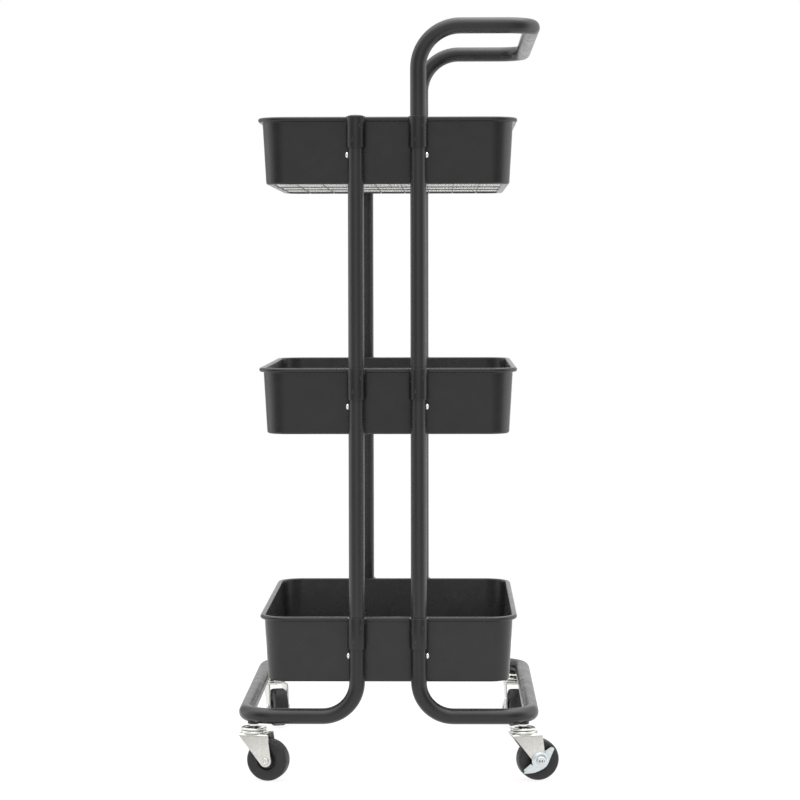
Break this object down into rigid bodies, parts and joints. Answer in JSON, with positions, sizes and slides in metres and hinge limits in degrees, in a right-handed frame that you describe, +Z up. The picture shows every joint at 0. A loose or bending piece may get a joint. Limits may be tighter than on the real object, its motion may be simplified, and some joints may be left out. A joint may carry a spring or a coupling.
{
  "type": "rolling pantry cart",
  "caption": "Rolling pantry cart: deep sheet-metal trays with mesh floors on a bent tube frame with a push handle, standing on swivel casters, some with side brakes.",
  "frame": {"origin": "on the floor, under the middle of the cart's whole footprint with the casters as they stand", "axes": "+Z up; +X across the cart towards the side with the push handle; +Y along the trays, from the front end to the rear end"},
  "size_m": [0.387, 0.417, 0.91],
  "materials": {
    "frame_coat": "satin charcoal powder coat",
    "tray_coat": "satin charcoal powder coat on pressed sheet",
    "mesh": "light grey galvanised fine steel mesh",
    "zinc": "bright zinc plate",
    "screw": "bright plated",
    "wheel": "moulded black, slightly worn tread",
    "plug": "moulded black"
  },
  "bodies": {
    "frame": {"base_tube_left": "frame_coat", "base_tube_right": "frame_coat", "caster_socket_front_left": "frame_coat", "caster_socket_front_right": "frame_coat", "caster_socket_rear_left": "frame_coat", "caster_socket_rear_right": "frame_coat", "caster_stem_front_left": "zinc", "caster_stem_front_right": "zinc", "caster_stem_rear_left": "zinc", "caster_stem_rear_right": "zinc", "end_plug_front": "plug", "end_plug_rear": "plug", "handle_tube": "frame_coat", "mesh_floor_bottom": "mesh", "mesh_floor_middle": "mesh", "mesh_floor_top": "mesh", "screw_bottom_front_left": "screw", "screw_bottom_front_right": "screw", "screw_bottom_rear_left": "screw", "screw_bottom_rear_right": "screw", "screw_middle_front_left": "screw", "screw_middle_front_right": "screw", "screw_middle_rear_left": "screw", "screw_middle_rear_right": "screw", "screw_top_front_left": "screw", "screw_top_front_right": "screw", "screw_top_rear_left": "screw", "screw_top_rear_right": "screw", "support_grid_bottom": "frame_coat", "support_grid_middle": "frame_coat", "support_grid_top": "frame_coat", "tray_bottom": "tray_coat", "tray_middle": "tray_coat", "tray_top": "tray_coat", "upright_lower_front_left": "frame_coat", "upright_lower_front_right": "frame_coat", "upright_lower_rear_left": "frame_coat", "upright_lower_rear_right": "frame_coat", "upright_upper_front_left": "frame_coat", "upright_upper_front_right": "frame_coat", "upright_upper_rear_left": "frame_coat", "upright_upper_rear_right": "frame_coat"},
    "fork_front_left": {"caster_fork_front_left": "zinc", "caster_axle_front_left": "zinc"},
    "wheel_front_left": {"caster_wheel_front_left": "wheel"},
    "fork_front_right": {"caster_fork_front_right": "zinc", "caster_axle_front_right": "zinc"},
    "wheel_front_right": {"caster_wheel_front_right": "wheel"},
    "brake_front_right": {"brake_lever_front_right": "zinc"},
    "fork_rear_left": {"caster_fork_rear_left": "zinc", "caster_axle_rear_left": "zinc"},
    "wheel_rear_left": {"caster_wheel_rear_left": "wheel"},
    "fork_rear_right": {"caster_fork_rear_right": "zinc", "caster_axle_rear_right": "zinc"},
    "wheel_rear_right": {"caster_wheel_rear_right": "wheel"},
    "brake_rear_right": {"brake_lever_rear_right": "zinc"}
  },
  "joints": [
    {"name": "swivel_front_left", "type": "hinge", "parent": "frame", "child": "fork_front_left", "pos_m": [-0.17371, -0.18725, 0.06], "axis": [0, 0, 1], "continuous": true},
    {"name": "roll_front_left", "type": "hinge", "parent": "fork_front_left", "child": "wheel_front_left", "pos_m": [-0.15618, -0.1913, 0.025], "axis": [0.225, 0.9744, 0], "continuous": true},
    {"name": "swivel_front_right", "type": "hinge", "parent": "frame", "child": "fork_front_right", "pos_m": [0.14978, -0.18725, 0.06], "axis": [0, 0, 1], "continuous": true},
    {"name": "roll_front_right", "type": "hinge", "parent": "fork_front_right", "child": "wheel_front_right", "pos_m": [0.16739, -0.18351, 0.025], "axis": [-0.2079, 0.9781, 0], "continuous": true},
    {"name": "swivel_rear_left", "type": "hinge", "parent": "frame", "child": "fork_rear_left", "pos_m": [-0.17371, 0.18725, 0.06], "axis": [0, 0, 1], "continuous": true},
    {"name": "roll_rear_left", "type": "hinge", "parent": "fork_rear_left", "child": "wheel_rear_left", "pos_m": [-0.16845, 0.17003, 0.025], "axis": [0.9563, 0.2924, 0], "continuous": true},
    {"name": "swivel_rear_right", "type": "hinge", "parent": "frame", "child": "fork_rear_right", "pos_m": [0.14978, 0.18725, 0.06], "axis": [0, 0, 1], "continuous": true},
    {"name": "roll_rear_right", "type": "hinge", "parent": "fork_rear_right", "child": "wheel_rear_right", "pos_m": [0.15104, 0.16929, 0.025], "axis": [0.9976, 0.0698, 0], "continuous": true},
    {"name": "brake_front_right", "type": "hinge", "parent": "fork_front_right", "child": "brake_front_right", "pos_m": [0.16739, -0.18351, 0.025], "axis": [-0.2079, 0.9781, 0], "range_deg": [0, 40]},
    {"name": "brake_rear_right", "type": "hinge", "parent": "fork_rear_right", "child": "brake_rear_right", "pos_m": [0.15104, 0.16929, 0.025], "axis": [0.9976, 0.0698, 0], "range_deg": [0, 40]}
  ]
}
